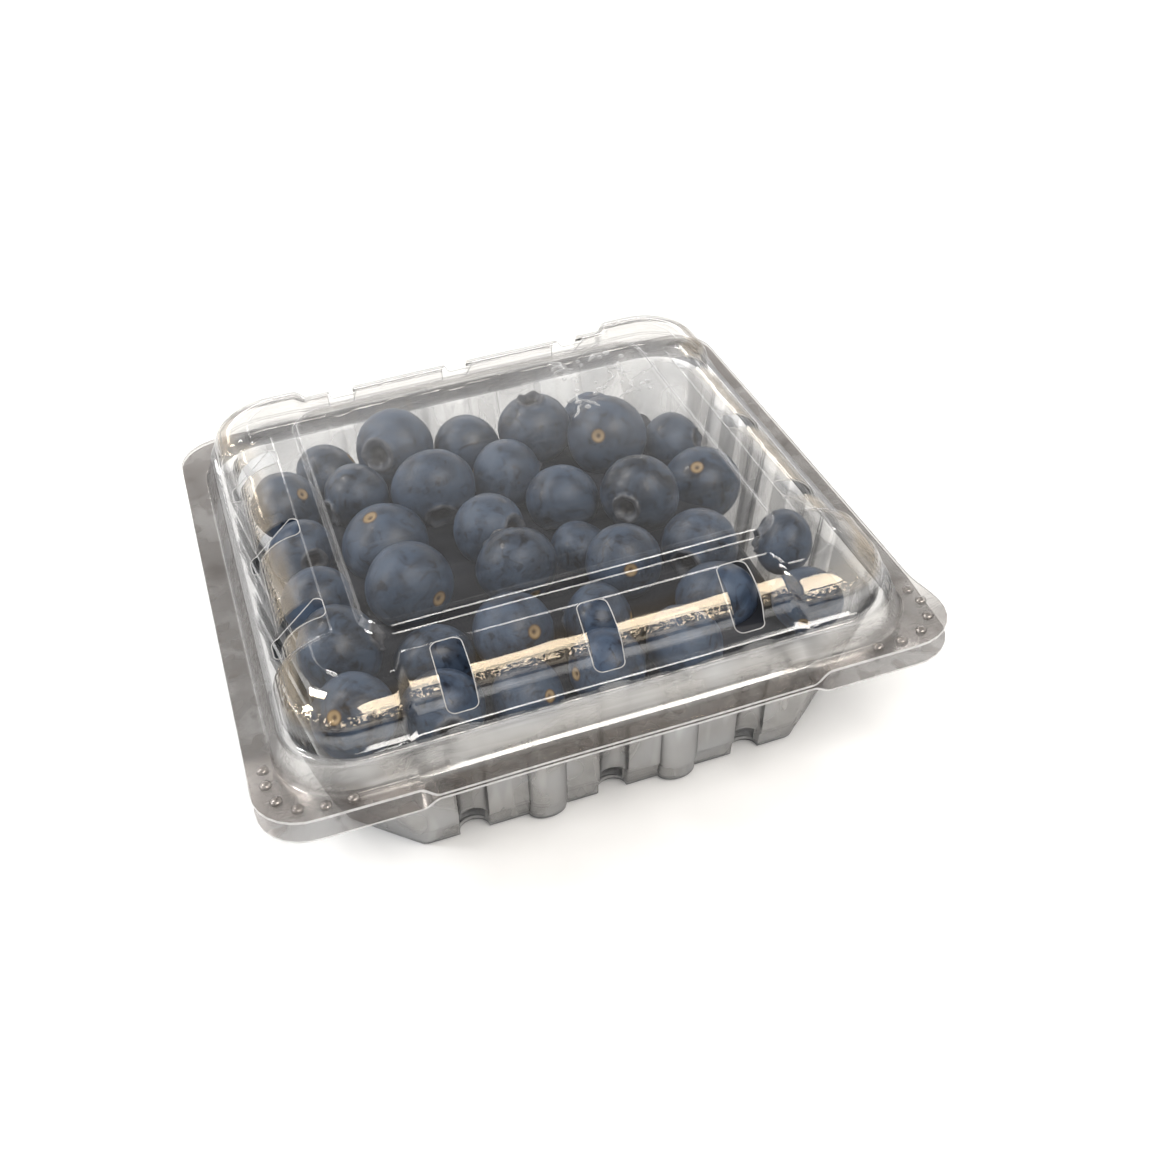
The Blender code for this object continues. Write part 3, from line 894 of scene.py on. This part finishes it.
trayColumns = planColumns(traySidePositions())
trayShell = wrapSheet("trayShell", trayColumns, trayRings(), trayPoint, isVent)
thicken(trayShell, tray["sheet"], trayPlastic)
shadeSmooth(trayShell, 38, flatten=True)


# Hinge: one bent strip of the same sheet joins the two flanges at the back
print("Bending the hinge strip")

hinge = {"half": 47.0, "bulge": 0.5, "sheet": 0.22, "columns": 40, "steps": 8}


def makeHinge():
    low, high = tray["flangeZ"], lid["flangeZ"]
    across, rows = hinge["columns"], hinge["steps"] + 2
    deselectAll()
    bpy.ops.mesh.primitive_grid_add(x_subdivisions=across, y_subdivisions=rows, size=1)
    strip = bpy.context.object
    strip.name = "hingeStrip"
    for vert in strip.data.vertices:
        row, column = divmod(vert.index, across + 1)
        x = hinge["half"] * (2 * column / across - 1)
        turn = math.pi * (row - 1) / hinge["steps"]
        y, z = pack["flangeHalf"], (low + high) / 2
        if row == 0 or row == rows:
            y, z = y - 0.8, low if row == 0 else high
        else:
            y, z = y + hinge["bulge"] * math.sin(turn), z - (high - low) / 2 * math.cos(turn)
        vert.co = Vector((x, y, z + sheetWave(x, y, z))) * mm
    thicken(strip, hinge["sheet"], trayPlastic)
    shadeSmooth(strip, 60)
    return strip


hingeStrip = makeHinge()


# Berries
print("Filling in the berries")

berry = {
    "segments": 32,
    "rows": (
        0, 5, 9, 12, 15, 17, 19, 21, 23, 26, 30, 36, 44, 53, 63, 74, 85, 96, 107, 118, 129, 139, 148, 156,
        162, 166, 169, 172, 175, 178, 180,
    ),
    "flatness": (0.84, 0.95),
    "unevenness": 0.03,
    "rimTilt": 21.0,
    "rimHeight": (0.08, 0.14),
    "craterDepth": 0.17,
    "scarReach": 171.0,
    "scarDepth": 0.05,
    "settleSteps": 80,
}

heap = {
    "sizes": (13.4, 15.6),
    "top": 35.3,
    "wallGap": 0.7,
    "floor": 0.5,
    "layers": ((12, 17.5, 6.8), (12, 8.0, 6.2)),
    "jitter": 1.0,
    "roomShare": 0.93,
    "contact": 0.98,
    "sink": 0.03,
    "topFreedom": 0.25,
}

# the top layer, each as (x, y, height, diameter), in rows from the back to the front
topBerries = (
    (-30, 38, 23, 14.0), (-16, 36, 27, 16.2), (-3, 34, 25, 13.6), (12, 31, 27, 15.0), (26, 37, 21, 14.0),
    (-41, 28, 25, 14.0), (-27, 24, 26, 13.4), (-12, 19, 28, 16.6), (2, 21, 25, 14.6), (24, 23, 27, 16.2),
    (38, 22, 22, 12.6),
    (-40, 13, 24, 12.8), (-25, 8, 25, 16.4), (-6, 3, 26, 13.8), (10, 8, 25, 14.2), (23, 0, 28, 15.2),
    (38, 6, 22, 15.2),
    (-40, -4, 25, 13.0), (-24, -9, 28, 16.0), (-5, -12, 28, 14.8), (9, -6, 22, 13.0), (13, -18, 27, 14.0),
    (29, -15, 24, 14.4),
    (-39, -21, 27, 15.4), (-24, -25, 22, 14.4), (-10, -26, 25, 14.4), (5, -28, 24, 13.6), (26, -30, 24, 14.6),
    (41, -25, 28, 12.0),
    (-40, -38, 27, 14.4), (-26, -40, 25, 14.0), (-12, -41, 23, 13.0), (2, -41, 25, 13.4), (16, -40, 25, 13.6),
    (39, -39, 26, 12.4),
)

# which end of a berry shows, and where on its disc: right and up, as shares of its radius
shownEnds = {
    (-16, 36): ("crown", -0.40, -0.30),
    (12, 31): ("crown", -0.11, 0.80),
    (24, 23): ("scar", -0.25, -0.10),
    (38, 6): ("scar", -0.20, 0.40),
    (23, 0): ("crown", -0.42, -0.47),
    (-6, 3): ("crown", 0.80, 0.0),
    (-12, 19): ("crown", 0.26, -0.80),
    (-25, 8): ("scar", -0.30, 0.66),
    (-24, -9): ("scar", 0.76, -0.31),
    (-5, -12): ("scar", 0.50, -0.78),
    (-40, -38): ("scar", -0.35, 0.05),
}


def wallLimit(z):
    share = min(max((z - tray["ledgeZ"]) / (tray["rimZ"] - tray["ledgeZ"]), 0.0), 1.0)
    low = tray["ledgeHalf"] - 0.7
    half = low + share * (tray["rimHalf"] - low)
    depth = tray["grooveDepth"][0] + share * (tray["grooveDepth"][1] - tray["grooveDepth"][0])
    return half - depth - heap["wallGap"]


def keepInside(spot, radius):
    spot.z = max(spot.z, heap["floor"] + heap["wallGap"] / 2 + radius)
    limit = wallLimit(spot.z) - radius
    spot.x = min(max(spot.x, -limit), limit)
    spot.y = min(max(spot.y, -limit), limit)
    room = tray["floorCorner"] - radius
    corner = limit - room
    over = Vector((max(abs(spot.x) - corner, 0.0), max(abs(spot.y) - corner, 0.0)))
    if min(over) > 0 and over.length > room:
        over *= room / over.length
        spot.x = math.copysign(corner + over.x, spot.x)
        spot.y = math.copysign(corner + over.y, spot.y)
    clear = cornerCut(spot.z) - math.sqrt(2) * (radius + heap["wallGap"] + heap["floor"])
    excess = (abs(spot.x) + abs(spot.y) - clear) / 2
    if excess > 0:
        spot.x -= math.copysign(excess, spot.x)
        spot.y -= math.copysign(excess, spot.y)


def pushApart(berries):
    for place, (spot, size, freedom, _) in enumerate(berries):
        if freedom == 1.0:
            spot.z -= heap["sink"]
        for other, wide, give, _ in berries[:place]:
            apart = spot - other
            short = heap["contact"] * (size + wide) / 2 - apart.length
            if short > 0:
                push = apart.normalized() * short / (freedom + give)
                spot += push * freedom
                other -= push * give


def heapOfBerries():
    dice = random.Random(7)
    berries = [[Vector(entry[:3]), entry[3], heap["topFreedom"], entry[:2]] for entry in topBerries]
    jitter = heap["jitter"]
    for count, height, pitch in heap["layers"]:
        for row in range(count):
            for place in range(count):
                x = (place - (count - 1) / 2) * pitch + dice.uniform(-jitter, jitter)
                y = (row - (count - 1) / 2) * pitch + dice.uniform(-jitter, jitter)
                spot = Vector((x, y, height + dice.uniform(-1, 1)))
                size = dice.uniform(*heap["sizes"])
                keepInside(spot, size / 2)
                clear = heap["roomShare"] / 2
                if all((spot - other).length > clear * (size + wide) for other, wide, _, _ in berries):
                    berries.append([spot, size, 1.0, None])
    for _ in range(berry["settleSteps"]):
        pushApart(berries)
        for spot, size, _, _ in berries:
            spot.z = min(spot.z, heap["top"] - size / 2)
            keepInside(spot, size / 2)
    return berries


def berryTurn(end, dice):
    # A crown or a stem scar faces the camera where the photo shows one, else it lies anywhere but on top
    spin = Quaternion((0, 0, 1), dice.uniform(0, math.tau))
    if end:
        kind, right, up = end
        toward = cameraRight * right + cameraUp * up + cameraBack * math.sqrt(1 - right * right - up * up)
        if kind == "scar":
            toward = -toward
    else:
        azimuth, lift = dice.uniform(0, math.tau), dice.uniform(-0.9, 0.35)
        toward = Vector((math.cos(azimuth), math.sin(azimuth), lift)).normalized()
    return Vector((0, 0, 1)).rotation_difference(toward) @ spin


def crownShape(tilt, lobe, rim):
    # Height over the berry's round, and how much of the crown's look a point has
    rimTilt = berry["rimTilt"]
    if tilt > rimTilt + 13:
        return 0.0, 0.0, 0.0
    flare = rim * (0.25 + 0.75 * lobe)
    if tilt <= rimTilt:
        inner = smoothShare((tilt - 10) / (rimTilt - 10))
        floor = -berry["craterDepth"] + 0.04 * smoothShare(1 - tilt / 5)
        return floor + (flare - floor) * inner, 1 - 0.5 * inner, 0.0
    fall = smoothShare((tilt - rimTilt) / 5)
    return flare * (1 - fall), 0.5 * (1 - fall), 0.0


def makeBerry(spot, size, end, dice):
    deselectAll()
    rows = berry["rows"]
    bpy.ops.mesh.primitive_uv_sphere_add(segments=berry["segments"], ring_count=len(rows) - 1, radius=1)
    piece = bpy.context.object
    mesh = piece.data
    flatness = dice.uniform(*berry["flatness"])
    rim, rimTurn = dice.uniform(*berry["rimHeight"]), dice.uniform(0, math.tau)
    crownSize = dice.uniform(0.85, 1.15)
    offset = Vector((dice.uniform(0, 90), dice.uniform(0, 90), dice.uniform(0, 90)))
    turn = berryTurn(end, dice)
    crown = mesh.attributes.new("crown", "FLOAT", "POINT")
    scar = mesh.attributes.new("scar", "FLOAT", "POINT")
    tone = mesh.attributes.new("tone", "FLOAT", "POINT")
    berryTone = dice.random()
    for vert in mesh.vertices:
        evenTilt = math.degrees(math.acos(min(max(vert.co.z, -1), 1)))
        row = round(evenTilt / 180 * (len(rows) - 1))
        tilt = rows[row]
        spin = math.atan2(vert.co.y, vert.co.x)
        if tilt < 60:
            tilt *= crownSize
        lobe = 0.5 + 0.5 * math.cos(5 * spin + rimTurn + 0.5 * math.sin(2 * spin))
        rise, crownMark, scarMark = crownShape(tilt / crownSize, lobe, rim)
        if tilt > berry["scarReach"] - 3:
            scarMark = (tilt - berry["scarReach"] + 3) / (183 - berry["scarReach"])
            rise -= berry["scarDepth"] * smoothShare(scarMark * 1.5 - 0.3)
        angle = math.radians(tilt)
        out = Vector((math.sin(angle) * math.cos(spin), math.sin(angle) * math.sin(spin), math.cos(angle)))
        radius = 1 + rise + berry["unevenness"] * noise.noise(out * 1.3 + offset)
        radius += 0.006 * noise.noise(out * 6 + offset)
        place = out * radius
        place.z *= flatness
        vert.co = (spot + turn @ (place * size / 2)) * mm
        crown.data[vert.index].value = crownMark
        scar.data[vert.index].value = scarMark
        tone.data[vert.index].value = berryTone
    return piece


def makeBerries():
    dice = random.Random(21)
    pieces = []
    for spot, size, _, place in heapOfBerries():
        pieces.append(makeBerry(spot, size, shownEnds.get(place), dice))
    berries = joinPieces("blueberries", pieces)
    pick(berries)
    bpy.ops.object.shade_smooth()
    return berries


core = {"half": 38.0, "low": 3.0, "high": 22.0, "edge": 2.5, "bumps": 1.2}


def makeCore():
    deselectAll()
    bpy.ops.mesh.primitive_cube_add(size=1)
    piece = bpy.context.object
    piece.name = "berryCore"
    for vert in piece.data.vertices:
        z = core["low"] if vert.co.z < 0 else core["high"]
        vert.co = Vector((2 * core["half"] * vert.co.x, 2 * core["half"] * vert.co.y, z)) * mm
    bpy.ops.object.mode_set(mode="EDIT")
    bpy.ops.mesh.select_all(action="SELECT")
    bpy.ops.mesh.bevel(offset=core["edge"] * mm, segments=4, affect="EDGES")
    bpy.ops.mesh.select_all(action="SELECT")
    bpy.ops.mesh.subdivide(number_cuts=6)
    bpy.ops.object.mode_set(mode="OBJECT")
    for vert in piece.data.vertices:
        vert.co += noise.noise_vector(vert.co / mm / 7) * core["bumps"] * mm
    pick(piece)
    bpy.ops.object.shade_smooth()
    return piece


blueberries = makeBerries()
dress(blueberries, makeBerrySkin())
berryCore = makeCore()
dress(berryCore, makeShadedCoreSkin())


# Condensation under the panel's far right
print("Adding condensation")

wet = {
    "corner": (16.0, 12.0),
    "size": (17.0, 20.0),
    "streaks": 15,
    "stride": 0.8,
    "thickness": (0.24, 0.42),
    "drops": 26,
}


def makeCondensation():
    dice = random.Random(5)
    ceiling = lid["top"] - lid["sheet"]
    curve = newCurve("condensation", 1.0)
    curve.use_fill_caps = True
    for _ in range(wet["streaks"]):
        x, y = (wet["corner"][axis] + dice.uniform(0, wet["size"][axis]) for axis in (0, 1))
        heading = dice.uniform(0, math.tau)
        count = dice.randint(4, 9)
        spline = curve.splines.new("POLY")
        spline.points.add(count - 1)
        thick = dice.uniform(*wet["thickness"])
        for place, point in enumerate(spline.points):
            taper = math.sin(math.pi * (place + 0.5) / count) ** 0.5
            point.co = (x * mm, y * mm, (ceiling - 0.1 + sheetWave(x, y, 0)) * mm, 1)
            point.radius = thick * taper
            heading += dice.uniform(-0.8, 0.8)
            x, y = x + wet["stride"] * math.cos(heading), y + wet["stride"] * math.sin(heading)
    parts = [curveToMesh(curve)]
    for _ in range(wet["drops"]):
        x, y = (wet["corner"][axis] + dice.uniform(0, wet["size"][axis]) for axis in (0, 1))
        wide = dice.uniform(0.3, 0.7)
        bpy.ops.mesh.primitive_uv_sphere_add(segments=12, ring_count=8, radius=1)
        drop = bpy.context.object
        middle = Vector((x, y, ceiling - 0.1 + sheetWave(x, y, 0)))
        for vert in drop.data.vertices:
            vert.co = (middle + vert.co * Vector((wide, wide, 0.3))) * mm
        parts.append(drop)
    wetness = joinPieces("condensation", parts)
    shadeSmooth(wetness, 60)
    return wetness


condensation = makeCondensation()
dress(condensation, makeWater())


# Riding on the frame
print("Fitting the pieces to the frame")

for piece in (lidShell, slotEdges, condensation):
    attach(piece, "lid")
for piece in (trayShell, blueberries, berryCore):
    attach(piece, "tray")
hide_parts("lid")
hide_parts("tray")
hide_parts("berries")
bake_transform(hingeStrip)

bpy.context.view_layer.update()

for piece in (lidShell, slotEdges, trayShell, hingeStrip, blueberries, berryCore, condensation):
    print(piece.name, len(piece.data.polygons), "faces")
